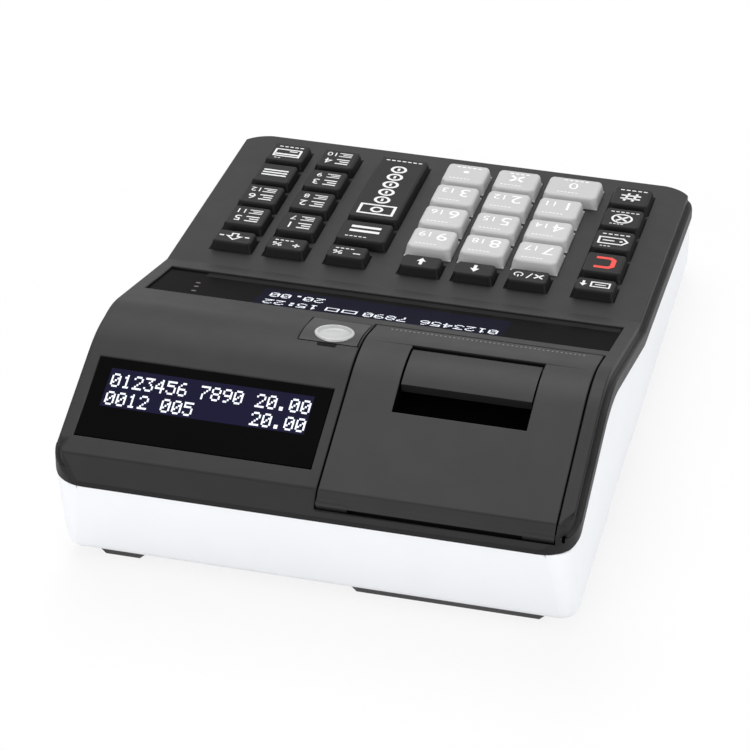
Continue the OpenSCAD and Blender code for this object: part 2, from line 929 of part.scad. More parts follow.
module paper_cradle() {
    color("#55565a")
        translate([lid_x, 0, 0])
            union() {
                difference() {
                    union() {
                        translate([0, roll_y, roll_z])
                            bar(2 * (cradle_r + cradle_t), roll_w + 2 * (roll_gap + cradle_t));
                        translate([0, roll_y, 0])
                            block(roll_w + 2 * (roll_gap + cradle_t), cradle_foot, base_z + base_wall,
                                  roll_z - cradle_foot_drop);
                    }
                    translate([0, roll_y, roll_z])
                        bar(2 * cradle_r, roll_w + 2 * roll_gap);
                    translate([0, roll_y, 0])
                        block(tall, tall, roll_z + 4, tall);
                }
            }
}

module paper_roll() {
    color("white")
        translate([lid_x, roll_y, roll_z])
            difference() {
                bar(roll_d, roll_w);
                bar(core_d, roll_w + 1);
            }
}

// ---- Electronics ----------------------------------------------------------

// Main board with the barrel socket for the supply at its +x edge
module main_board() {
    color("#1f6b3a")
        union() {
            translate([0, board_y, board_z])
                rounded_plate(board_w, board_d, 2, board_t);
            difference() {
                translate([(socket_x0 + socket_x1) / 2, board_y, 0])
                    block(socket_x1 - socket_x0, socket_w, board_z + board_t - tiny,
                          socket_z + socket_w / 2);
                translate([socket_x1, board_y, socket_z])
                    bar(socket_bore, 2 * socket_deep);
            }
            translate([socket_x1 - socket_deep / 2 - 1, board_y, socket_z])
                bar(2, socket_deep);
        }
}

module battery_pack() {
    color("#3f7fb5")
        translate([mid_cust_x, fold_y - pack_d / 2 - 15, 0])
            block(pack_w, pack_d, base_z + base_wall, base_z + base_wall + pack_h);
}

// ---- Parts ----------------------------------------------------------------

base_shell();
top_shell();
paper_lid();
lid_hinge_pins();
lid_lever();
lever_pin_bar();  // lever_pin
tear_bar();
platen_roller();
platen_gear();
printer_frame();
thermal_head();
feed_motor();
drive_gear();
paper_cradle();
paper_roll();
customer_window();
customer_display();
operator_window();
operator_display();
key_mat();
key_board();
main_board();
battery_pack();
seal_cover();
seal_plug();
foot_pads();
case_screws();
for (k = KEYS)
    key(k);
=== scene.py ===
import json
import math

import bmesh
import bpy
from mathutils import Matrix, Vector


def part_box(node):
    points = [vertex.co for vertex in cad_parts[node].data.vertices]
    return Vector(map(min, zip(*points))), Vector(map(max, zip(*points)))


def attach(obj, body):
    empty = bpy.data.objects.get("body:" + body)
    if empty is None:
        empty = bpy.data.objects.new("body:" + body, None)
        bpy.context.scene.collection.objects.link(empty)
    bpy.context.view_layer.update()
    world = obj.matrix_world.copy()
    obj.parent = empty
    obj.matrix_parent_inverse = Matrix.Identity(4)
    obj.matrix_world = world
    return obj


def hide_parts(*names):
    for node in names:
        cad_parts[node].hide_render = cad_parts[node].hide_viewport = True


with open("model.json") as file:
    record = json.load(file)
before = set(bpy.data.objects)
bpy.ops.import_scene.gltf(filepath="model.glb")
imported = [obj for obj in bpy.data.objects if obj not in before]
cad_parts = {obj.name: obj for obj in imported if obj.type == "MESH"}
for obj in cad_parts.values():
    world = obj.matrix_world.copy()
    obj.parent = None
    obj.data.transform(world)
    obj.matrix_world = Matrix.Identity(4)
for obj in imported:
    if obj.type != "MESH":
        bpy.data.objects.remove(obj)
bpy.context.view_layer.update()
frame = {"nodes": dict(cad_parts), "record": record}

# Cash register: finishes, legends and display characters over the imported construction.
# Lengths in the constants are millimetres; MM turns them into the frame's metres.
MM = 0.001
SCENE = bpy.context.scene
NODES = frame["nodes"]
BODY_OF = {n: b for b, names in frame["record"]["behaviour"]["bodies"].items() for n in names}

# An edge is sharp from this angle between its faces
SHARP_ANGLE = math.radians(30)

# Slopes of the deck
KEY_ANGLE = math.radians(5.6)
WINDOW_ANGLE = math.radians(18)
REAR_ANGLE = math.radians(19.6)
SEAL_ANGLE = math.radians(-10.7)

# Customer fold and the centre and radius of the rounded crest, as (y, z)
FOLD_Y, FOLD_Z = 119, 48
CREST_C = (62.4, 25.7)
CREST_R = 40

# Height of the operator end of the deck, drop of the flared ends, corners seen from above
FRONT_Z = 34.21
FLARE_DROP = 7
DECK_CORNERS = (13, 4)
SKIRT_CORNER = 11.6

# Base: its customer end and the lean of that face, height of the seam, corners and lower edge
BASE_END = 123.2
FACE_LEAN = 13
SEAM_Z = 39
BASE_CORNER = 10.6
BASE_CORNER_LOW = 6.3
UNDER_R = 4.5
FOOT_INSET = 2.2

# The outer forms clear the flat walls by a hair and stand higher than the case
SKIN_GAP = 0.02
FOLD_CLEARANCE = 0.05
OPEN_TOP = 80

# Field of the key holes: its ends along the case and its half width, in metres
KEY_FIELD = (-0.112, -0.012, 0.079)
# How far out across and along the case the corners of the deck begin, in metres
CORNER_ZONE = (0.068, 0.1)
# Where the lid's toothed edge and its hinge lip lie along the case, in metres
WINDOW_Y = 0.043
LIP_Y = 0.1195
# Recess round the lever, whose inner faces get painted shade: its margin across, its length beyond the
# lever, and how deep it begins
RECESS_MARGIN = 0.002
RECESS_LENGTH = 0.016
RECESS_SUNK = 0.0005
# Thickness of the seal plug
PLUG_T = 1.3
# Teeth along the lid, how far in from the tear bar's operator edge they lie, half width and point
TEAR_TEETH = 44
TEAR_BACK = 2.4
TOOTH_HALF = 0.35
TOOTH_POINT = 0.5


# ---------------------------------------------------------------- materials

def node(tree, kind, **inputs):
    made = tree.nodes.new("ShaderNode" + kind)
    for name, value in inputs.items():
        made.inputs[name.replace("_", " ")].default_value = value
    return made


def shader(name):
    """New material, with its tree, its Principled shader and a node that gives object coordinates."""
    made = bpy.data.materials.new(name)
    made.use_nodes = True
    tree = made.node_tree
    return made, tree, tree.nodes["Principled BSDF"], tree.nodes.new("ShaderNodeTexCoord")


def mixed(tree, factor, low, high):
    """Colour that goes from low to high with a factor's output."""
    ramp = tree.nodes.new("ShaderNodeValToRGB")
    ramp.color_ramp.elements[0].position = 0.3
    ramp.color_ramp.elements[1].position = 0.7
    ramp.color_ramp.elements[0].color = (*low, 1)
    ramp.color_ramp.elements[1].color = (*high, 1)
    tree.links.new(factor, ramp.inputs[0])
    return ramp.outputs[0]


def noise(tree, place, size, detail=3.0, stretch=(1, 1, 1)):
    """Noise with features about size millimetres across, drawn out along the axes by stretch."""
    made = node(tree, "TexNoise", Scale=1 / (size * MM), Detail=detail)
    space = node(tree, "Mapping")
    space.inputs["Scale"].default_value = [1 / s for s in stretch]
    tree.links.new(place.outputs["Object"], space.inputs["Vector"])
    tree.links.new(space.outputs[0], made.inputs["Vector"])
    return made.outputs[0]


def bump(tree, bsdf, height, depth):
    made = node(tree, "Bump", Strength=1.0, Distance=depth * MM)
    tree.links.new(height, made.inputs["Height"])
    tree.links.new(made.outputs[0], bsdf.inputs["Normal"])


def roughened(tree, bsdf, factor, low, high):
    spread = node(tree, "MapRange")
    spread.inputs["To Min"].default_value = low
    spread.inputs["To Max"].default_value = high
    tree.links.new(factor, spread.inputs["Value"])
    tree.links.new(spread.outputs[0], bsdf.inputs["Roughness"])


def plastic(name, low, high, rough, grain=0.35, depth=0.012, level=0.5, coat=0.0):
    """Moulded plastic or rubber: cloudy colour, spark-eroded grain and handled patches of gloss.

    The grain's size and depth are in millimetres, and level is the specular level.
    """
    made, tree, bsdf, place = shader(name)
    clouds = noise(tree, place, 30)
    tree.links.new(mixed(tree, clouds, low, high), bsdf.inputs["Base Color"])
    roughened(tree, bsdf, noise(tree, place, 9, 4), rough * 0.9, rough * 1.1)
    bump(tree, bsdf, noise(tree, place, grain, 2), depth)
    bsdf.inputs["Specular IOR Level"].default_value = level
    bsdf.inputs["Coat Weight"].default_value = coat
    return made


def metal(name, low, high, rough, stretch=(30, 1, 1)):
    """Drawn or brushed metal, with its lines along the stretched axis."""
    made, tree, bsdf, place = shader(name)
    lines = noise(tree, place, 0.25, 2, stretch)
    tree.links.new(mixed(tree, lines, low, high), bsdf.inputs["Base Color"])
    roughened(tree, bsdf, lines, rough * 0.8, rough * 1.2)
    bump(tree, bsdf, lines, 0.004)
    bsdf.inputs["Metallic"].default_value = 1.0
    return made


def display_glass(name, low, high, level):
    """Dark indigo display with its faint grid of cells."""
    made, tree, bsdf, place = shader(name)
    grid = node(tree, "TexVoronoi", Scale=1 / (0.75 * MM), Randomness=0.0)
    grid.feature = "DISTANCE_TO_EDGE"
    tree.links.new(place.outputs["Object"], grid.inputs["Vector"])
    tree.links.new(mixed(tree, grid.outputs["Distance"], low, high), bsdf.inputs["Base Color"])
    roughened(tree, bsdf, noise(tree, place, 12), 0.12, 0.2)
    bsdf.inputs["Specular IOR Level"].default_value = level
    return made


def circuit(name):
    """Solder mask over copper tracks."""
    made, tree, bsdf, place = shader(name)
    tracks = node(tree, "TexVoronoi", Scale=1 / (4 * MM), Randomness=0.6)
    tracks.feature = "DISTANCE_TO_EDGE"
    tree.links.new(place.outputs["Object"], tracks.inputs["Vector"])
    ramp = mixed(tree, tracks.outputs["Distance"], (0.05, 0.22, 0.09), (0.012, 0.09, 0.035))
    tree.links.new(ramp, bsdf.inputs["Base Color"])
    roughened(tree, bsdf, noise(tree, place, 6), 0.3, 0.45)
    bump(tree, bsdf, tracks.outputs["Distance"], 0.03)
    return made


def paper(name):
    """Thermal paper: fine fibre over the face and wound edges at the ends of the roll."""
    made, tree, bsdf, place = shader(name)
    fibre = noise(tree, place, 0.5, 5)
    tree.links.new(mixed(tree, fibre, (0.78, 0.78, 0.77), (0.84, 0.84, 0.83)), bsdf.inputs["Base Color"])
    roughened(tree, bsdf, fibre, 0.7, 0.85)
    bump(tree, bsdf, noise(tree, place, 0.12, 2, (400, 1, 1)), 0.02)
    return made


def ink(name, colour, rough=0.5):
    """Printed or moulded mark, slightly uneven."""
    made, tree, bsdf, place = shader(name)
    clouds = noise(tree, place, 1.5)
    dull = tuple(c * 0.9 for c in colour)
    tree.links.new(mixed(tree, clouds, dull, colour), bsdf.inputs["Base Color"])
    roughened(tree, bsdf, clouds, rough * 0.9, rough * 1.1)
    return made


def lit(name, colour, strength):
    """Display cell that shines, its brightness broken up a little from cell to cell."""
    made = ink(name, colour, 0.3)
    bsdf = made.node_tree.nodes["Principled BSDF"]
    bsdf.inputs["Emission Color"].default_value = (*colour, 1)
    bsdf.inputs["Emission Strength"].default_value = strength
    return made


BLACK = plastic("black_case_skin", (0.0080, 0.0074, 0.0074), (0.0105, 0.0097, 0.0097), 0.5, level=0.22)
LID_BLACK = plastic("lid_skin", (0.0105, 0.0098, 0.0099), (0.013, 0.0122, 0.0124), 0.5, level=0.25)
LEVER_BLACK = plastic("lever_skin", (0.009, 0.0087, 0.0087), (0.012, 0.0116, 0.0116), 0.42, 0.5, 0.006, 0.18)
# Near-black finish for the lid's finger recess: painted shade standing for the shade deep in the hollow, not
# a colour of the plastic
RECESS_PAINTED_SHADE = plastic("recess_painted_shade_skin", (0.0012, 0.0012, 0.0012), (0.002, 0.002, 0.002), 0.8, 0.5, 0.006, 0.005)
WHITE = plastic("white_case_skin", (0.88, 0.885, 0.895), (0.90, 0.905, 0.915), 0.45, 0.5, 0.006, 0.2)
KEY_BLACK = plastic(
    "black_key_skin", (0.006, 0.0057, 0.0057), (0.008, 0.0076, 0.0076), 0.45, 0.25, 0.01, 0.12)
KEY_GREY = plastic("grey_key_skin", (0.49, 0.486, 0.477), (0.53, 0.526, 0.517), 0.5, 0.25, 0.008, 0.2)
# Black rubber of the key mat; the same finish serves for the painted shadow strip along the operator window
# and the painted-shade mark below the seal cover
MAT_BLACK_AND_PAINTED_SHADE = plastic("key_mat_rubber_and_painted_shade", (0.004, 0.004, 0.004), (0.006, 0.006, 0.006), 0.8, 0.4, 0.01, 0.1)
CRADLE = plastic("cradle_plastic_skin", (0.02, 0.02, 0.021), (0.03, 0.03, 0.031), 0.55)
ACRYLIC = plastic("customer_acrylic", (0.001, 0.001, 0.0012), (0.0016, 0.0015, 0.0018), 0.12, 2, 0.001, 0.01)
FLAT_ACRYLIC = plastic(
    "operator_acrylic", (0.0035, 0.003, 0.0028), (0.005, 0.0042, 0.004), 0.2, 2, 0.001, 0.002)
SEAL = plastic("seal_cover_skin", (0.013, 0.0119, 0.0112), (0.016, 0.0147, 0.0138), 0.4, level=0.24)
PLUG = plastic("seal_plug_wax", (0.34, 0.34, 0.335), (0.60, 0.60, 0.59), 0.3, 1.2, 0.12, 0.5, 0.2)
FEET = plastic("foot_rubber_skin", (0.05, 0.05, 0.05), (0.07, 0.07, 0.07), 0.8, 0.5, 0.03)
RUBBER = plastic("platen_rubber", (0.018, 0.018, 0.019), (0.026, 0.026, 0.027), 0.7, 0.3, 0.01)
NYLON = plastic("gear_nylon_skin", (0.70, 0.69, 0.64), (0.78, 0.77, 0.72), 0.4, 0.5, 0.004)
WRAP = plastic("battery_wrap_skin", (0.02, 0.07, 0.22), (0.03, 0.09, 0.27), 0.3, 3, 0.04, 0.5, 0.3)
CERAMIC = plastic("ceramic_head_skin", (0.62, 0.60, 0.55), (0.70, 0.68, 0.63), 0.25, 0.6, 0.004)
STEEL = metal("brushed_steel_skin", (0.48, 0.48, 0.48), (0.62, 0.62, 0.61), 0.32)
DARK_STEEL = metal("blackened_steel_skin", (0.02, 0.02, 0.021), (0.035, 0.035, 0.036), 0.5)
MOTOR = metal("motor_can_skin", (0.50, 0.50, 0.49), (0.66, 0.66, 0.64), 0.28, (1, 1, 20))
LCD = display_glass("display_indigo", (0.010, 0.0095, 0.029), (0.014, 0.0135, 0.038), 0.01)
FLAT_LCD = display_glass("operator_indigo", (0.003, 0.0027, 0.013), (0.005, 0.0047, 0.02), 0.002)
BOARD = circuit("circuit_board_mask")
PAPER = paper("thermal_paper")
KEY_INK = ink("white_legend", (0.80, 0.80, 0.79))
GREY_INK = ink("pale_legend", (0.88, 0.88, 0.87))
RED_INK = ink("red_legend", (0.80, 0.035, 0.02))
CELLS = lit("display_cells", (0.80, 0.83, 0.90), 0.25)
LED_MARK = ink("led_marks", (0.05, 0.042, 0.038))
TOOTH_GREY = ink("tear_edge_grey", (0.34, 0.33, 0.32))


# ---------------------------------------------------------------- building blocks

def link(name, mesh, *materials):
    made = bpy.data.objects.new(name, mesh)
    SCENE.collection.objects.link(made)
    for m in materials:
        mesh.materials.append(m)
    return made


def dress(piece, body, slot, *nodes):
    """Rides a piece on a body and lets it stand for CAD nodes, which it hides; slot is not used."""
    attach(piece, body)
    if nodes:
        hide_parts(*nodes)
    return piece


def smooth(mesh, angle=SHARP_ANGLE):
    for face in mesh.polygons:
        face.use_smooth = True
    mesh.set_sharp_from_angle(angle=angle)


def welded(name):
    """A CAD node's mesh as a bmesh with its triangles paired, so that holes stay whole."""
    bm = bmesh.new()
    bm.from_mesh(NODES[name].data)
    bmesh.ops.remove_doubles(bm, verts=bm.verts, dist=1e-7)
    bmesh.ops.join_triangles(
        bm, faces=bm.faces, angle_face_threshold=math.radians(0.3), angle_shape_threshold=math.pi)
    return bm


def weigh_normals(piece, bevelled=False):
    """Keeps broad faces evenly shaded, and above a bevel's faces where there is one."""
    weights = piece.modifiers.new("normals", "WEIGHTED_NORMAL")
    weights.keep_sharp = True
    weights.weight = 75
    weights.use_face_influence = bevelled


def soften(piece, radius, steps=2, marked=False):
    """Rounds every sharp edge, or only the marked ones."""
    edge = piece.modifiers.new("edges", "BEVEL")
    edge.width = radius * MM
    edge.segments = steps
    edge.limit_method = "WEIGHT" if marked else "ANGLE"
    edge.angle_limit = SHARP_ANGLE
    edge.use_clamp_overlap = not marked
    edge.miter_outer = "MITER_ARC"
    edge.face_strength_mode = "FSTR_ALL"
    smooth(piece.data)
    weigh_normals(piece, bevelled=True)


def mark_edges(bm, keep):
    """Marks for rounding the sharp edges of the upper surface that keep(middle) accepts."""
    layer = bm.edges.layers.float.new("bevel_weight_edge")
    for edge in bm.edges:
        if len(edge.link_faces) != 2 or edge.calc_face_angle() < SHARP_ANGLE:
            continue
        middle = (edge.verts[0].co + edge.verts[1].co) / 2
        if max(f.normal.z for f in edge.link_faces) > 0.4 and keep(middle):
            edge[layer] = 1.0


def finished(name, materials, slot, radius, steps=2, shape=None, marked=False, form=None):
    """A CAD node's shape with moulded edges, cut to form() and worked on by shape(bm) first."""
    bm = trimmed(name, form()) if form else welded(name)
    if shape:
        shape(bm)
    mesh = bpy.data.meshes.new(name + "_skin")
    bm.to_mesh(mesh)
    bm.free()
    piece = link(name + "_skin", mesh, *materials)
    soften(piece, radius, steps, marked)
    return dress(piece, BODY_OF[name], slot, name)


def give_finish(material, *names):
    """Gives CAD nodes that keep their own shape a finish."""
    for name in names:
        for slot in NODES[name].material_slots:
            slot.material = material


# ---------------------------------------------------------------- planes of the deck

def plane(origin, right, up):
    """Frame of a flat face: x to the reader's right, y up the lettering, z out of the face."""
    right, up = Vector(right).normalized(), Vector(up).normalized()
    out = right.cross(up)
    made = Matrix((right, up, out)).transposed().to_4x4()
    made.translation = Vector(origin)
    return made


KEY_UP = (0, math.cos(KEY_ANGLE), math.sin(KEY_ANGLE))
WINDOW_UP = (0, math.cos(WINDOW_ANGLE), math.sin(WINDOW_ANGLE))
REAR_UP = (0, -math.cos(REAR_ANGLE), math.sin(REAR_ANGLE))
SEAL_UP = (0, -math.cos(SEAL_ANGLE), math.sin(SEAL_ANGLE))


def top_of(name, right, up):
    """Plane on a node's outermost face, centred on it, with the face's half sizes in millimetres."""
    face = plane((0, 0, 0), right, up)
    inverse = face.inverted()
    points = [inverse @ v.co for v in NODES[name].data.vertices]
    height = max(p.z for p in points)
    cap = [p for p in points if p.z > height - 0.00005]
    low = Vector((min(p.x for p in cap), min(p.y for p in cap), height))
    high = Vector((max(p.x for p in cap), max(p.y for p in cap), height))
    face.translation = face.to_3x3() @ ((low + high) / 2)
    half = (high - low) / 2 / MM
    return face, half.x, half.y


# ---------------------------------------------------------------- marks

MARK_T = 0.03


class Marks:
    """Flat raised marks, drawn in millimetres on one plane and gathered into one mesh."""

    def __init__(self, place):
        self.bm = bmesh.new()
        self.place = place

    def outline(self, points):
        """Filled shape with the given outline."""
        ring = [self.bm.verts.new((x, y, 0)) for x, y in points]
        cap = self.bm.faces.new(ring)
        if cap.normal.z < 0 or _area(points) < 0:
            cap.normal_flip()
        self._thicken([cap])

    def stroke(self, points, width, closed=False):
        """Line of one width along the points, with mitred joints."""
        count = len(points)
        sides = []
        for i in range(count):
            before = points[i - 1] if closed or i else None
            after = points[(i + 1) % count] if closed or i < count - 1 else None
            sides.append(_offset(before, points[i], after, width / 2))
        spans = [(i, (i + 1) % count) for i in range(count if closed else count - 1)]
        left = [self.bm.verts.new((*a, 0)) for a, _ in sides]
        right = [self.bm.verts.new((*b, 0)) for _, b in sides]
        self._thicken([self.bm.faces.new((right[i], right[j], left[j], left[i])) for i, j in spans])

    def arc(self, centre, radius, width, start=0, end=360, steps=24):
        whole = abs(end - start) >= 360
        count = steps if whole else steps + 1
        turn = [math.radians(start + (end - start) * i / steps) for i in range(count)]
        ring = [(centre[0] + radius * math.cos(a), centre[1] + radius * math.sin(a)) for a in turn]
        self.stroke(ring, width, whole)

    def disc(self, centre, radius, steps=20):
        turn = [math.tau * i / steps for i in range(steps)]
        self.outline([(centre[0] + radius * math.cos(a), centre[1] + radius * math.sin(a)) for a in turn])

    def digits(self, text, centre, height):
        """Plain figures of a given cap height, centred on a point."""
        curve = bpy.data.curves.new("figures", "FONT")
        curve.body = text
        curve.align_x = "CENTER"
        curve.resolution_u = 4
        curve.extrude = 0.5
        lettering = bpy.data.objects.new("figures", curve)
        SCENE.collection.objects.link(lettering)
        mesh = bpy.data.meshes.new_from_object(lettering)
        tall = max(v.co.y for v in mesh.vertices) - min(v.co.y for v in mesh.vertices)
        wide = [v.co.x for v in mesh.vertices]
        middle = (max(wide) + min(wide)) / 2
        base = min(v.co.y for v in mesh.vertices) + tall / 2
        size = height / max(tall, 1e-6)
        fit = Matrix.Translation((*centre, MARK_T / 2)) @ Matrix.Diagonal((size, size, MARK_T, 1))
        fit = fit @ Matrix.Translation((-middle, -base, 0))
        mesh.transform(fit)
        self.bm.from_mesh(mesh)
        bpy.data.objects.remove(lettering)
        bpy.data.curves.remove(curve)
        bpy.data.meshes.remove(mesh)

    def _thicken(self, faces):
        grown = bmesh.ops.extrude_face_region(self.bm, geom=faces)["geom"]
        moved = [g for g in grown if isinstance(g, bmesh.types.BMVert)]
        bmesh.ops.translate(self.bm, verts=moved, vec=(0, 0, MARK_T))

    def piece(self, name, material, body, slot):
        bmesh.ops.remove_doubles(self.bm, verts=self.bm.verts, dist=1e-5)
        bmesh.ops.recalc_face_normals(self.bm, faces=self.bm.faces)
        self.bm.transform(self.place @ Matrix.Scale(MM, 4))
        mesh = bpy.data.meshes.new(name)
        self.bm.to_mesh(mesh)
        self.bm.free()
        return dress(link(name, mesh, material), body, slot)


def _area(points):
    return sum(a[0] * b[1] - b[0] * a[1] for a, b in zip(points, points[1:] + points[:1])) / 2


def _offset(before, here, after, half):
    """The two points half a width to the left and right of a corner of a line."""
    here = Vector(here)
    into = (here - Vector(before)).normalized() if before is not None else None
    out = (Vector(after) - here).normalized() if after is not None else into
    into = into or out
    along = (into + out).normalized()
    reach = half / max(along.dot(out), 0.4)
    side = Vector((-along.y, along.x)) * reach
    return tuple(here + side), tuple(here - side)


# ---------------------------------------------------------------- housing

def rounded_ring(half_w, front, back, radii, steps=10):
    """Points round a rectangle, back corners first; radii are those of the front and the back."""
    ring = []
    for sx, sy, start in ((1, 1, 0), (-1, 1, 90), (-1, -1, 180), (1, -1, 270)):
        r = radii[1] if sy > 0 else radii[0]
        x, y = sx * (half_w - r), (back - r if sy > 0 else front + r)
        for i in range(steps + 1):
            a = math.radians(start + 90 * i / steps)
            ring.append((x + r * math.cos(a), y + r * math.sin(a)))
    return ring


def lofted(name, rings):
    """Closed form through rings of points, from the lowest ring up."""
    bm = bmesh.new()
    loops = [[bm.verts.new(p) for p in ring] for ring in rings]
    for lower, upper in zip(loops, loops[1:]):
        for i in range(len(lower)):
            j = (i + 1) % len(lower)
            bm.faces.new((lower[i], lower[j], upper[j], upper[i]))
    bm.faces.new(loops[0])
    bm.faces.new(loops[-1])
    bmesh.ops.recalc_face_normals(bm, faces=bm.faces)
    bm.transform(Matrix.Scale(MM, 4))
    mesh = bpy.data.meshes.new(name)
    bm.to_mesh(mesh)
    bm.free()
    return link(name, mesh)


def base_envelope():
    """Outer form of the base: leaning customer face, rounded corners and a rounded lower edge."""
    low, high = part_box("base_shell")
    floor_z, half_w = low.z / MM, high.x / MM + SKIN_GAP
    operator_y, customer_y = low.y / MM - SKIN_GAP, BASE_END + SKIN_GAP
    heights = [floor_z + UNDER_R * (1 - math.cos(math.radians(90 * i / 8))) for i in range(9)]
    heights += [floor_z + UNDER_R + (SEAM_Z - floor_z - UNDER_R) * i / 8 for i in range(1, 9)]
    heights.append(OPEN_TOP)
    rings = []
    for z in heights:
        share = min((z - floor_z) / (SEAM_Z - floor_z), 1)
        under = max(UNDER_R - (z - floor_z), 0)
        inset = UNDER_R - math.sqrt(UNDER_R ** 2 - under ** 2)
        back = customer_y - FACE_LEAN * (1 - share) - inset
        corner = BASE_CORNER_LOW + (BASE_CORNER - BASE_CORNER_LOW) * share ** 2
        radii = (BASE_CORNER - inset, corner - inset)
        ring = rounded_ring(half_w - inset, operator_y + inset, back, radii)
        rings.append([(x, y, z) for x, y in ring])
    return lofted("base_envelope", rings)


def deck_envelope():
    """Outer form of the top shell: the flared ends run round the corners of the deck."""
    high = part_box("top_shell")[1]
    half_w, end = high.x / MM + SKIN_GAP, high.y / MM + SKIN_GAP
    fold = FOLD_Y + SKIN_GAP
    upper = rounded_ring(half_w, -fold, fold, DECK_CORNERS)
    lower = rounded_ring(half_w, -end, end, (SKIRT_CORNER, SKIRT_CORNER))
    ends = [FOLD_Z if y > 0 else FRONT_Z + (FOLD_Y + y) * math.tan(KEY_ANGLE) for _, y in upper]
    ends = [z + FOLD_CLEARANCE for z in ends]
    return lofted("deck_envelope", [
        [(x, y, 0) for x, y in lower],
        [(x, y, z - FLARE_DROP) for (x, y), z in zip(lower, ends)],
        [(x, y, z) for (x, y), z in zip(upper, ends)],
        [(x, y, OPEN_TOP) for x, y in upper]])


def trimmed(name, envelope):
    """A CAD node's mesh cut to an outer form, as a bmesh."""
    bm = welded(name)
    mesh = bpy.data.meshes.new(name + "_blank")
    bm.to_mesh(mesh)
    bm.free()
    blank = link(name + "_blank", mesh)
    cut = blank.modifiers.new("form", "BOOLEAN")
    cut.operation = "INTERSECT"
    cut.object = envelope
    cut.solver = "EXACT"
    bpy.context.view_layer.update()
    shaped = bpy.data.meshes.new_from_object(blank.evaluated_get(bpy.context.evaluated_depsgraph_get()))
    bm = bmesh.new()
    bm.from_mesh(shaped)
    for spare in (blank, envelope):
        bpy.data.objects.remove(spare)
    bpy.data.meshes.remove(shaped)
    return bm


def base():
    bm = trimmed("base_shell", base_envelope())
    mesh = bpy.data.meshes.new("base_shell_skin")
    bm.to_mesh(mesh)
    bm.free()
    piece = link("base_shell_skin", mesh, WHITE)
    smooth(mesh)
    weigh_normals(piece)
    dress(piece, BODY_OF["base_shell"], "white_case", "base_shell")


def round_deck(bm):
    """Every open edge of the deck but those of the key holes and at its rounded corners."""
    def keep(p):
        key_hole = KEY_FIELD[0] < p.y < KEY_FIELD[1] and abs(p.x) < KEY_FIELD[2]
        corner = abs(p.x) > CORNER_ZONE[0] and abs(p.y) > CORNER_ZONE[1]
        return not key_hole and not corner
    mark_edges(bm, keep)


def shape_lid(bm):
    """Softens the lid's outer edges and paints shade into the finger recess: its inner faces get a
    near-black finish that stands for the shade in the hollow.
    """
    mark_edges(bm, lambda p: WINDOW_Y < p.y < LIP_Y)
    low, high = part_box("lid_lever")
    for face in bm.faces:
        middle = face.calc_center_median()
        across = low.x - RECESS_MARGIN < middle.x < high.x + RECESS_MARGIN
        along = low.y < middle.y < high.y + RECESS_LENGTH
        # Faces inside the recess take the painted-shade finish
        if across and along and middle.z < skin_height(middle.y) - RECESS_SUNK:
            face.material_index = 1


def shape_feet(bm):
    """Draws the feet in a little under the rounded edge of the base."""
    for x in (-1, 1):
        for y in (-1, 1):
            pad = [v for v in bm.verts if v.co.x * x > 0 and v.co.y * y > 0]
            if not pad:
                continue
            middle = sum((v.co for v in pad), Vector()) / len(pad)
            for v in pad:
                for axis in (0, 1):
                    away = v.co[axis] - middle[axis]
                    v.co[axis] -= math.copysign(min(FOOT_INSET * MM, abs(away)), away)


def skin_height(y):
    """Height of the roof above a place along the case, from the window slope to the fold, in metres."""
    mm = y / MM
    window_end = CREST_C[0] - CREST_R * math.sin(WINDOW_ANGLE)
    slope_start = CREST_C[0] + CREST_R * math.sin(REAR_ANGLE)
    if mm < window_end:
        height = CREST_C[1] + CREST_R * math.cos(WINDOW_ANGLE) + (mm - window_end) * math.tan(WINDOW_ANGLE)
    elif mm > slope_start:
        height = FOLD_Z + (FOLD_Y - mm) * math.tan(REAR_ANGLE)
    else:
        height = CREST_C[1] + math.sqrt(CREST_R ** 2 - (mm - CREST_C[0]) ** 2)
    return height * MM


def housing():
    base()
    finished("top_shell", [BLACK], "black_case", 0.45, 3, shape=round_deck, marked=True, form=deck_envelope)
    finished("paper_lid", [LID_BLACK, RECESS_PAINTED_SHADE], "black_case", 0.35, 3, shape=shape_lid, marked=True)
    finished("lid_lever", [LEVER_BLACK], "lever_plastic", 0.4, 3)
    finished("seal_cover", [SEAL], "seal_plastic", 0.25)
    finished("foot_pads", [FEET], "foot_rubber", 0.3, shape=shape_feet)
    finished("tear_bar", [STEEL], "steel", 0.05, 1)


def lathe(name, profile, axis_frame, material, steps=48):
    """Turned piece: profile gives (radius, height) from the axis outward and back to it."""
    bm = bmesh.new()
    rings = []
    for radius, height in profile:
        if radius == 0:
            rings.append([bm.verts.new((0, 0, height))])
        else:
            turn = [math.tau * i / steps for i in range(steps)]
            rings.append([bm.verts.new((radius * math.cos(a), radius * math.sin(a), height)) for a in turn])
    for low, high in zip(rings, rings[1:]):
        for i in range(steps):
            j = (i + 1) % steps
            corners = [low[i % len(low)], low[j % len(low)], high[j % len(high)], high[i % len(high)]]
            bm.faces.new(list(dict.fromkeys(corners)))
    bmesh.ops.recalc_face_normals(bm, faces=bm.faces)
    bm.transform(axis_frame @ Matrix.Scale(MM, 4))
    mesh = bpy.data.meshes.new(name)
    bm.to_mesh(mesh)
    bm.free()
    smooth(mesh, math.radians(50))
    return link(name, mesh, material)


def seal_plug():
    """Pressed seal: a raised rim round a dished face."""
    place, half, _ = top_of("seal_plug", (-1, 0, 0), SEAL_UP)
    depth = PLUG_T
    profile = [(0, -depth), (half, -depth), (half, -0.3), (half - 0.2, -0.08), (half - 0.6, 0)]
    profile += [(half - 0.9, -0.05), (half - 1.2, -0.8), (half - 1.7, -1.05), (half - 3.4, -1.1), (0, -0.7)]
    piece = lathe("seal_plug_skin", profile, place, PLUG)
    dress(piece, BODY_OF["seal_plug"], "seal_plastic", "seal_plug")


# ---------------------------------------------------------------- keys

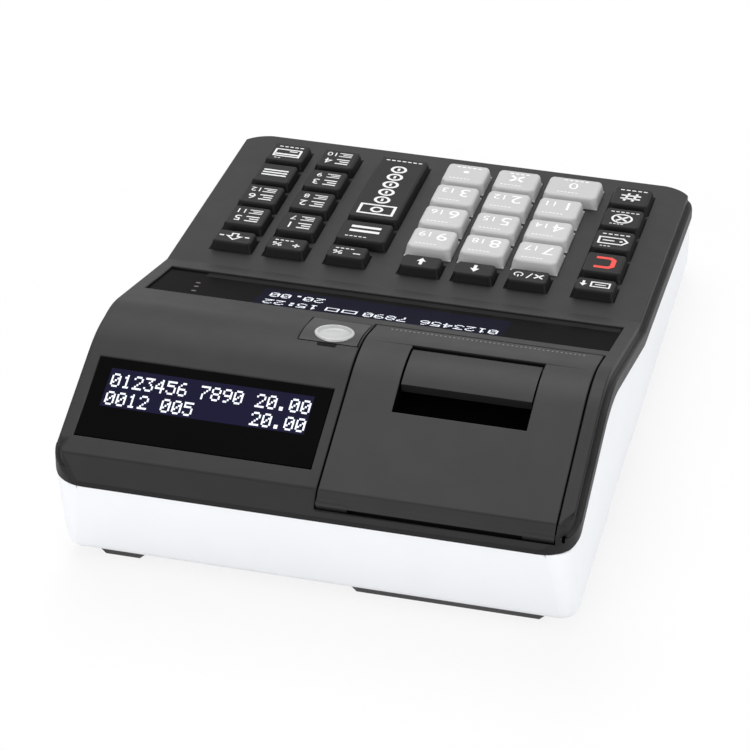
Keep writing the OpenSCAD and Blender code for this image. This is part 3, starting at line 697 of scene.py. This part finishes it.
GREY_KEYS = [f"key_{i}" for i in range(10)] + ["key_multiply", "key_point"]
ALL_KEYS = [n for n in NODES if n.startswith("key_") and n not in ("key_mat", "key_board")]


def power_sign(marks, x, y, size):
    marks.arc((x, y), size, size * 0.3, 125, 415, 20)
    marks.stroke([(x, y + size * 0.25), (x, y + size * 1.35)], size * 0.32)


def arrow(marks, x, y, size, turn=1):
    """Solid arrow, pointing up the key at turn 1 and down it at turn -1."""
    shape = [(-0.22, -1), (0.22, -1), (0.22, 0), (0.62, 0), (0, 1), (-0.62, 0), (-0.22, 0)]
    marks.outline([(x + a * size * turn, y + b * size * turn) for a, b in shape])


def frame_sign(marks, x, y, wide, tall, line):
    w, t = wide / 2, tall / 2
    marks.stroke([(x - w, y - t), (x + w, y - t), (x + w, y + t), (x - w, y + t)], line, True)


def cross(marks, x, y, size, line):
    marks.stroke([(x - size, y - size), (x + size, y + size)], line)
    marks.stroke([(x - size, y + size), (x + size, y - size)], line)


def plus(marks, x, y, size, line):
    marks.stroke([(x - size, y), (x + size, y)], line)
    marks.stroke([(x, y - size), (x, y + size)], line)


def minus(marks, x, y, size, line):
    marks.stroke([(x - size, y), (x + size, y)], line)


def percent(marks, x, y, size, line):
    marks.stroke([(x - size, y - size), (x + size, y + size)], line)
    marks.arc((x - size * 0.8, y + size * 0.6), size * 0.4, line * 0.8)
    marks.arc((x + size * 0.8, y - size * 0.6), size * 0.4, line * 0.8)


def dashes(marks, x, y, count, size):
    for i in range(count):
        left = x + (i - count / 2) * size * 1.5
        marks.stroke([(left, y), (left + size, y)], size * 0.5)


def mark_feed(marks):
    frame_sign(marks, -1.8, 0, 6.4, 3.4, 0.6)
    minus(marks, -1.8, 0, 1.9, 0.5)
    arrow(marks, 4.2, 0, 2.0)


def mark_clear(marks):
    corners = [(3.2, 3.7), (-1.9, 3.7), (-3.2, 2.4), (-3.2, -2.4), (-1.9, -3.7), (3.2, -3.7)]
    marks.stroke(corners, 1.7)


def mark_price(marks):
    tag = [(-5.2, 0.9), (-3.4, 3.4), (5.0, 3.4), (5.0, -1.6), (-3.4, -1.6)]
    marks.stroke(tag, 0.75, True)
    marks.disc((-2.9, 0.9), 0.6)
    minus(marks, 1.6, 0.9, 2.1, 0.7)
    dashes(marks, 0, -4.4, 5, 1.4)
    dashes(marks, 2.4, 5.6, 3, 0.9)


def mark_void(marks):
    cross(marks, 0, 0.9, 1.9, 0.95)
    marks.arc((0, 0.9), 3.5, 0.8)
    dashes(marks, 0, -4.6, 6, 1.2)
    dashes(marks, 1.6, 5.6, 4, 0.9)


def mark_code(marks):
    for i in (-1, 1):
        marks.stroke([(i * 1.5 - 0.6, -2.2), (i * 1.5 + 0.6, 4.4)], 0.95)
        marks.stroke([(-3.6, 1.1 + i * 1.3), (3.6, 1.1 + i * 1.3)], 0.95)
    dashes(marks, 0, -4.8, 5, 1.4)


def mark_power(marks):
    cross(marks, -3.6, 0, 1.5, 0.7)
    marks.stroke([(-1.1, -1.9), (0.5, 2.1)], 0.5)
    power_sign(marks, 3.6, -0.2, 1.5)


def mark_up(marks):
    arrow(marks, 0, 0, 2.6)


def mark_down(marks):
    arrow(marks, 0, 0, 2.6, -1)


def rate_sign(marks):
    """Percent sign at the right, over a row of dashes."""
    percent(marks, 3.2, 1.2, 1.3, 0.5)
    dashes(marks, 1.6, -2.0, 4, 1.2)


def mark_plus_percent(marks):
    plus(marks, -3.6, 1.2, 1.3, 0.65)
    rate_sign(marks)


def mark_minus_percent(marks):
    minus(marks, -3.6, 1.2, 1.3, 0.65)
    rate_sign(marks)


def mark_shift(marks):
    shape = [(-0.55, -1), (0.55, -1), (0.55, 0), (1.3, 0), (0, 1.2), (-1.3, 0), (-0.55, 0)]
    marks.stroke([(a * 1.9, b * 2.2) for a, b in shape], 0.6, True)
    dashes(marks, -4.2, 0, 1, 1.6)
    dashes(marks, 5.0, 0, 1, 1.6)


def mark_menu(marks):
    for i in (-1, 0, 1):
        minus(marks, 0, i * 2.1, 4.6, 1.0)


def mark_card(marks):
    frame_sign(marks, 0, 0.9, 9.4, 5.8, 0.75)
    minus(marks, 0, 2.1, 4.6, 1.1)
    minus(marks, -2.0, -0.6, 1.5, 0.7)
    dashes(marks, 0, -4.6, 5, 1.3)
    dashes(marks, 3.0, 5.6, 2, 0.9)


def mark_total(marks):
    for i in (-1, 1):
        minus(marks, 0, -1.2 + i * 1.7, 5.4, 1.7)
    dashes(marks, 2.4, 5.2, 5, 1.1)


def mark_cash(marks, h):
    """Banknote and a column of coins, down the length of a key with half length h."""
    top = h - 7
    frame_sign(marks, 0, top, 12.4, 7.4, 1.0)
    marks.arc((0, top), 1.9, 0.95)
    for i in range(5):
        y = top - 8.6 - i * 6.8
        marks.arc((0, y), 2.5, 1.05)
        marks.stroke([(0, y - 1.1), (0, y + 1.1)], 0.9)
    dashes(marks, 0, 3.0 - h, 7, 1.35)


SIGNS = {
    "key_feed": mark_feed, "key_clear": mark_clear, "key_price": mark_price, "key_void": mark_void,
    "key_code": mark_code, "key_power": mark_power, "key_up": mark_up, "key_down": mark_down,
    "key_plus_percent": mark_plus_percent, "key_minus_percent": mark_minus_percent,
    "key_shift": mark_shift, "key_menu": mark_menu, "key_card": mark_card,
    "key_total": mark_total,
}


def grey_legend(marks, name, w, h):
    """Figure at the left, a small figure at the right and a fine row above."""
    dashes(marks, 1.6, h - 2.4, 6, 0.9)
    if name == "key_multiply":
        cross(marks, 0, -0.6, 2.3, 1.1)
        dashes(marks, 0, -4.8, 4, 1.3)
    elif name == "key_point":
        marks.disc((0, -0.8), 1.1)
        dashes(marks, 0, -4.8, 5, 1.3)
    elif name == "key_0":
        marks.digits("0", (0, -0.6), 5.2)
        dashes(marks, 0, -5.2, 5, 1.3)
    else:
        digit = name[-1]
        marks.digits(digit, (-w + 4.4, -1.7), 6.2)
        marks.digits("1" + digit, (w - 4.4, -2.6), 3.8)


def item_legend(marks, number):
    """Tag with the item's number, over the number that it has when shifted."""
    for y, height, value in ((2.6, 4.2, number), (-3.4, 3.1, number + 6)):
        marks.digits(str(value), (3.0, y), height)
        marks.stroke([(-4.6, y + height / 2.4), (0.2, y + height / 2.4)], height * 0.17)
        marks.stroke([(-4.6, y - height / 2.4), (0.2, y - height / 2.4)], height * 0.17)
        minus(marks, -2.9, y, 1.7, height * 0.17)


def round_cap(bm, place):
    """Marks a key's upright corners, and at half their radius the edges of its top."""
    layer = bm.edges.layers.float.new("bevel_weight_edge")
    inverse = place.inverted()
    for edge in bm.edges:
        ends = sorted((inverse @ v.co).z / MM for v in edge.verts)
        if len(edge.link_faces) != 2 or edge.calc_face_angle() < SHARP_ANGLE or ends[1] < -0.1:
            continue
        edge[layer] = 0.5 if ends[0] > -0.1 else 1.0


def keys():
    for name in ALL_KEYS:
        grey = name in GREY_KEYS
        place, w, h = top_of(name, (1, 0, 0), KEY_UP)
        material, slot, radius = (KEY_GREY, "key_grey", 2.2) if grey else (KEY_BLACK, "key_black", 1.6)
        finished(name, [material], slot, radius, 4, shape=lambda bm: round_cap(bm, place), marked=True)
        marks = Marks(place)
        if grey:
            grey_legend(marks, name, w, h)
        elif name.startswith("key_item"):
            item_legend(marks, int(name[-1]))
        elif name == "key_cash":
            mark_cash(marks, h)
        else:
            SIGNS[name](marks)
        colour = GREY_INK if grey else RED_INK if name == "key_clear" else KEY_INK
        marks.piece(name + "_legend", colour, BODY_OF[name], slot)


# ---------------------------------------------------------------- displays

# Rows of a 5 by 7 cell, top first, as hexadecimal bit patterns
CELL_ROWS = {
    "0": "0E 11 13 15 19 11 0E", "1": "04 0C 04 04 04 04 0E", "2": "0E 11 01 02 04 08 1F",
    "3": "1F 02 04 02 01 11 0E", "4": "02 06 0A 12 1F 02 02", "5": "1F 10 1E 01 01 11 0E",
    "6": "06 08 10 1E 11 11 0E", "7": "1F 01 02 04 08 08 08", "8": "0E 11 11 0E 11 11 0E",
    "9": "0E 11 11 0F 01 02 0C", ".": "00 00 00 00 00 0C 0C", "x": "00 11 0A 04 0A 11 00",
    "-": "00 00 00 1F 00 00 00", ":": "00 0C 0C 00 0C 0C 00", "=": "00 00 1F 00 1F 00 00",
    "#": "0A 0A 1F 0A 1F 0A 0A",
}


# Pitch of the characters and width and height of a dot's place on each display
CUSTOMER_TYPE = (3.74, 0.62, 0.78)
OPERATOR_TYPE = (3.9, 0.65, 0.8)
DOT_FILL = 0.94


def cell_text(marks, text, left, base, type_size):
    """Characters of square dots, from the left end of a line whose lowest row sits on base."""
    pitch, dot_w, dot_h = type_size
    for place, sign in enumerate(text):
        if sign == " ":
            continue
        for row, bits in enumerate(CELL_ROWS[sign].split()):
            for column in range(5):
                if int(bits, 16) >> (4 - column) & 1:
                    x = left + place * pitch + column * dot_w
                    y = base + (6 - row) * dot_h
                    w, h = dot_w * DOT_FILL, dot_h * DOT_FILL
                    marks.outline([(x, y), (x + w, y), (x + w, y + h), (x, y + h)])


def window_plate(name, material, place, half_w, half_l, thick, corner, view):
    """Acrylic plate with rounded corners, and the display that shows through its face."""
    bm = bmesh.new()
    ring = []
    for sx, sy in ((1, 1), (-1, 1), (-1, -1), (1, -1)):
        middle = math.atan2(sy, sx)
        for i in range(-3, 4):
            a = middle + math.radians(15) * i
            x = sx * (half_w - corner) + corner * math.cos(a)
            ring.append((x, sy * (half_l - corner) + corner * math.sin(a)))
    verts = [bm.verts.new((x, y, -thick)) for x, y in ring]
    bottom = bm.faces.new(verts)
    grown = bmesh.ops.extrude_face_region(bm, geom=[bottom])["geom"]
    bmesh.ops.translate(bm, verts=[g for g in grown if isinstance(g, bmesh.types.BMVert)], vec=(0, 0, thick))
    bmesh.ops.recalc_face_normals(bm, faces=bm.faces)
    bm.transform(place @ Matrix.Scale(MM, 4))
    mesh = bpy.data.meshes.new(name)
    bm.to_mesh(mesh)
    bm.free()
    piece = link(name, mesh, material)
    soften(piece, 0.15, 2)
    x0, y0, x1, y1 = view
    glass = Marks(place)
    glass.outline([(x0, y0), (x1, y0), (x1, y1), (x0, y1)])
    return piece, glass


def customer_side():
    place, w, h = top_of("customer_window", (-1, 0, 0), REAR_UP)
    piece, glass = window_plate(
        "customer_window_skin", ACRYLIC, place, w, h, 1.2, 0.6, (-w + 5, -h + 12.5, w - 5.4, h - 4))
    dress(piece, "case", "window_acrylic", "customer_window")
    glass.piece("customer_display_view", LCD, "case", "display_glass")
    above = place @ Matrix.Translation((0, 0, MARK_T * MM))
    marks = Marks(above)
    left, first_line, second_line = -w + 6, -h + 20.6, -h + 13.3
    amount_left = left + 13 * CUSTOMER_TYPE[0]
    cell_text(marks, "0123456 7890 20.00", left, first_line, CUSTOMER_TYPE)
    cell_text(marks, "0012 005", left, second_line, CUSTOMER_TYPE)
    cell_text(marks, "20.00", amount_left, second_line, CUSTOMER_TYPE)
    marks.piece("customer_display_cells", CELLS, "case", "display_glass")


def operator_side():
    place, w, h = top_of("operator_window", (1, 0, 0), WINDOW_UP)
    view = (-43, h - 23.5, 43, h - 1.5)
    piece, glass = window_plate("operator_window_skin", FLAT_ACRYLIC, place, w, h, 0.85, 0.6, view)
    dress(piece, "case", "window_acrylic", "operator_window")
    glass.piece("operator_display_view", FLAT_LCD, "case", "display_glass")
    above = place @ Matrix.Translation((0, 0, MARK_T * MM))
    marks = Marks(above)
    first_line, second_line, amount_left = h - 9.5, h - 19, 21
    cell_text(marks, "0123456 7890", -41, first_line, OPERATOR_TYPE)
    cell_text(marks, "15:22", amount_left, first_line, OPERATOR_TYPE)
    cell_text(marks, "20.00", amount_left, second_line, OPERATOR_TYPE)
    frame_sign(marks, 10, h - 7, 4.6, 3.2, 0.6)
    frame_sign(marks, 16, h - 7, 4.0, 3.6, 0.6)
    marks.piece("operator_display_cells", CELLS, "case", "display_glass")
    lamps = Marks(above)
    for x, y in ((64.5, 9.5), (65.2, 3.6), (65.9, -1.4)):
        lamps.disc((x, y), 0.9)
    lamps.piece("status_lamps", LED_MARK, "case", "window_acrylic")
    # Black strip along the window's edge: painted shadow standing for the dark gap between the window and
    # the keyboard deck
    strip = Marks(place)
    left, right, low, high = -w + 0.6, 66, -h + 0.5, -h + 5.6
    strip.outline([(left, low), (right, low), (right, high), (left, high)])
    strip.piece("window_painted_shadow_strip", MAT_BLACK_AND_PAINTED_SHADE, "case", "window_acrylic")


def trimmings():
    """Teeth of the tear edge along the lid, and a flat black mark of painted shade below the seal cover,
    standing for the shade in a finger notch.
    """
    low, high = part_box("tear_bar")
    reach = (high.x - low.x) / MM
    ridge = low.y + TEAR_BACK * MM
    teeth = Marks(plane(((low.x + high.x) / 2, ridge, skin_height(ridge)), (1, 0, 0), WINDOW_UP))
    for i in range(TEAR_TEETH):
        x = reach * ((i + 0.5) / TEAR_TEETH - 0.5)
        teeth.outline([(x - TOOTH_HALF, -TOOTH_HALF), (x + TOOTH_HALF, -TOOTH_HALF), (x, TOOTH_POINT)])
    teeth.piece("tear_edge_teeth", TOOTH_GREY, "lid", "steel")
    low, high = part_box("seal_cover")
    edge = high.y + 1.4 * MM
    lean = math.asin((edge / MM - CREST_C[0]) / CREST_R)
    up = (0, -math.cos(lean), math.sin(lean))
    # Flat black mark: painted shade where a finger notch below the seal cover would hold shade
    notch = Marks(plane(((low.x + high.x) / 2, edge, skin_height(edge)), (-1, 0, 0), up))
    notch.outline([(-3, -0.9), (3, -0.9), (3.4, 0.9), (-3.4, 0.9)])
    notch.piece("seal_cover_notch_painted_shade", MAT_BLACK_AND_PAINTED_SHADE, "case", "black_case")


# ---------------------------------------------------------------- insides

def insides():
    give_finish(STEEL, "printer_frame", "case_screws")
    give_finish(DARK_STEEL, "lid_hinge_pins", "lever_pin")
    give_finish(RUBBER, "platen_roller")
    give_finish(NYLON, "platen_gear", "drive_gear")
    give_finish(CERAMIC, "thermal_head")
    give_finish(MOTOR, "feed_motor")
    give_finish(CRADLE, "paper_cradle")
    give_finish(PAPER, "paper_roll")
    give_finish(LCD, "customer_display", "operator_display")
    give_finish(MAT_BLACK_AND_PAINTED_SHADE, "key_mat")
    give_finish(BOARD, "key_board", "main_board")
    give_finish(WRAP, "battery_pack")


# ---------------------------------------------------------------- studio

def white_for_eye(tree):
    """Factor that is 1 for rays that see a surface's colour directly, in gloss or through glass."""
    path = tree.nodes.new("ShaderNodeLightPath")
    total = None
    for name in ("Is Camera Ray", "Is Glossy Ray", "Is Transmission Ray"):
        if total is None:
            total = path.outputs[name]
            continue
        either = tree.nodes.new("ShaderNodeMath")
        either.operation = "MAXIMUM"
        tree.links.new(total, either.inputs[0])
        tree.links.new(path.outputs[name], either.inputs[1])
        total = either.outputs[0]
    return total


def backdrop():
    world = bpy.data.worlds.new("studio")
    world.use_nodes = True
    SCENE.world = world
    tree = world.node_tree
    tree.nodes.clear()
    dim = tree.nodes.new("ShaderNodeBackground")
    dim.inputs["Color"].default_value = (0.93, 0.96, 1.0, 1)
    dim.inputs["Strength"].default_value = 0.5
    white = tree.nodes.new("ShaderNodeBackground")
    white.inputs["Color"].default_value = (1, 1, 1, 1)
    white.inputs["Strength"].default_value = 1.0
    both = tree.nodes.new("ShaderNodeMixShader")
    out = tree.nodes.new("ShaderNodeOutputWorld")
    tree.links.new(white_for_eye(tree), both.inputs[0])
    tree.links.new(dim.outputs[0], both.inputs[1])
    tree.links.new(white.outputs[0], both.inputs[2])
    tree.links.new(both.outputs[0], out.inputs[0])


# Floor: its own tone, and how much of what the eye sees of it is plain white
FLOOR_TONE = 0.82
FLOOR_GLOW = 0.82


def floor():
    bm = bmesh.new()
    bmesh.ops.create_grid(bm, x_segments=4, y_segments=4, size=3)
    mesh = bpy.data.meshes.new("floor")
    bm.to_mesh(mesh)
    bm.free()
    made = bpy.data.materials.new("pale_floor")
    made.use_nodes = True
    tree = made.node_tree
    bsdf = tree.nodes["Principled BSDF"]
    bsdf.inputs["Base Color"].default_value = (FLOOR_TONE, FLOOR_TONE, FLOOR_TONE, 1)
    bsdf.inputs["Roughness"].default_value = 0.9
    bsdf.inputs["Specular IOR Level"].default_value = 0.1
    glow = tree.nodes.new("ShaderNodeEmission")
    glow.inputs["Strength"].default_value = 1.0
    both = tree.nodes.new("ShaderNodeMixShader")
    share = tree.nodes.new("ShaderNodeMath")
    share.operation = "MULTIPLY"
    share.inputs[1].default_value = FLOOR_GLOW
    tree.links.new(white_for_eye(tree), share.inputs[0])
    tree.links.new(share.outputs[0], both.inputs[0])
    tree.links.new(bsdf.outputs[0], both.inputs[1])
    tree.links.new(glow.outputs[0], both.inputs[2])
    out = tree.nodes["Material Output"]
    tree.links.new(both.outputs[0], out.inputs[0])
    link("floor", mesh, made)


def lamp(name, place, aim, size, power, colour=(1, 1, 1)):
    data = bpy.data.lights.new(name, "AREA")
    data.shape = "SQUARE"
    data.size = size
    data.energy = power
    data.color = colour
    made = bpy.data.objects.new(name, data)
    SCENE.collection.objects.link(made)
    made.location = place
    made.rotation_mode = "QUATERNION"
    made.rotation_quaternion = (Vector(aim) - Vector(place)).to_track_quat("-Z", "Y")


def studio():
    """Soft lamps: place, point that each faces, and size, in metres, then power in watts."""
    backdrop()
    floor()
    lamp("top_softbox", (0.24, -0.35, 1.2), (0, 0, 0.03), 1.1, 9.0)
    lamp("front_softbox", (0.5, 1.3, 0.55), (0, 0.05, 0.03), 0.8, 7.6)
    lamp("side_softbox", (-1.3, 0.4, 0.5), (0, 0, 0.03), 0.8, 6.2, (0.97, 0.98, 1.0))
    lamp("crest_softbox", (0.25, -0.9, 1.1), (0, 0.05, 0.05), 0.6, 3.6)


# Camera fitted to the photograph: place in metres, direction, roll in degrees and focal length
CAMERA_AT = (-0.2185, 0.9746, 0.6747)
CAMERA_LOOK = (0.1881, -0.8127, -0.5515)
CAMERA_ROLL = 0.72
CAMERA_LENS = 164.77


def camera():
    data = bpy.data.cameras.new("camera")
    data.sensor_width = 36
    data.lens = CAMERA_LENS
    data.clip_start = 0.05
    made = bpy.data.objects.new("camera", data)
    SCENE.collection.objects.link(made)
    made.location = CAMERA_AT
    look = Vector(CAMERA_LOOK).to_track_quat("-Z", "Y").to_matrix()
    made.rotation_mode = "QUATERNION"
    made.rotation_quaternion = (look @ Matrix.Rotation(math.radians(CAMERA_ROLL), 3, "Z")).to_quaternion()
    SCENE.camera = made


camera()
studio()
housing()
seal_plug()
keys()
customer_side()
operator_side()
trimmings()
insides()
SCENE.view_settings.view_transform = "Standard"
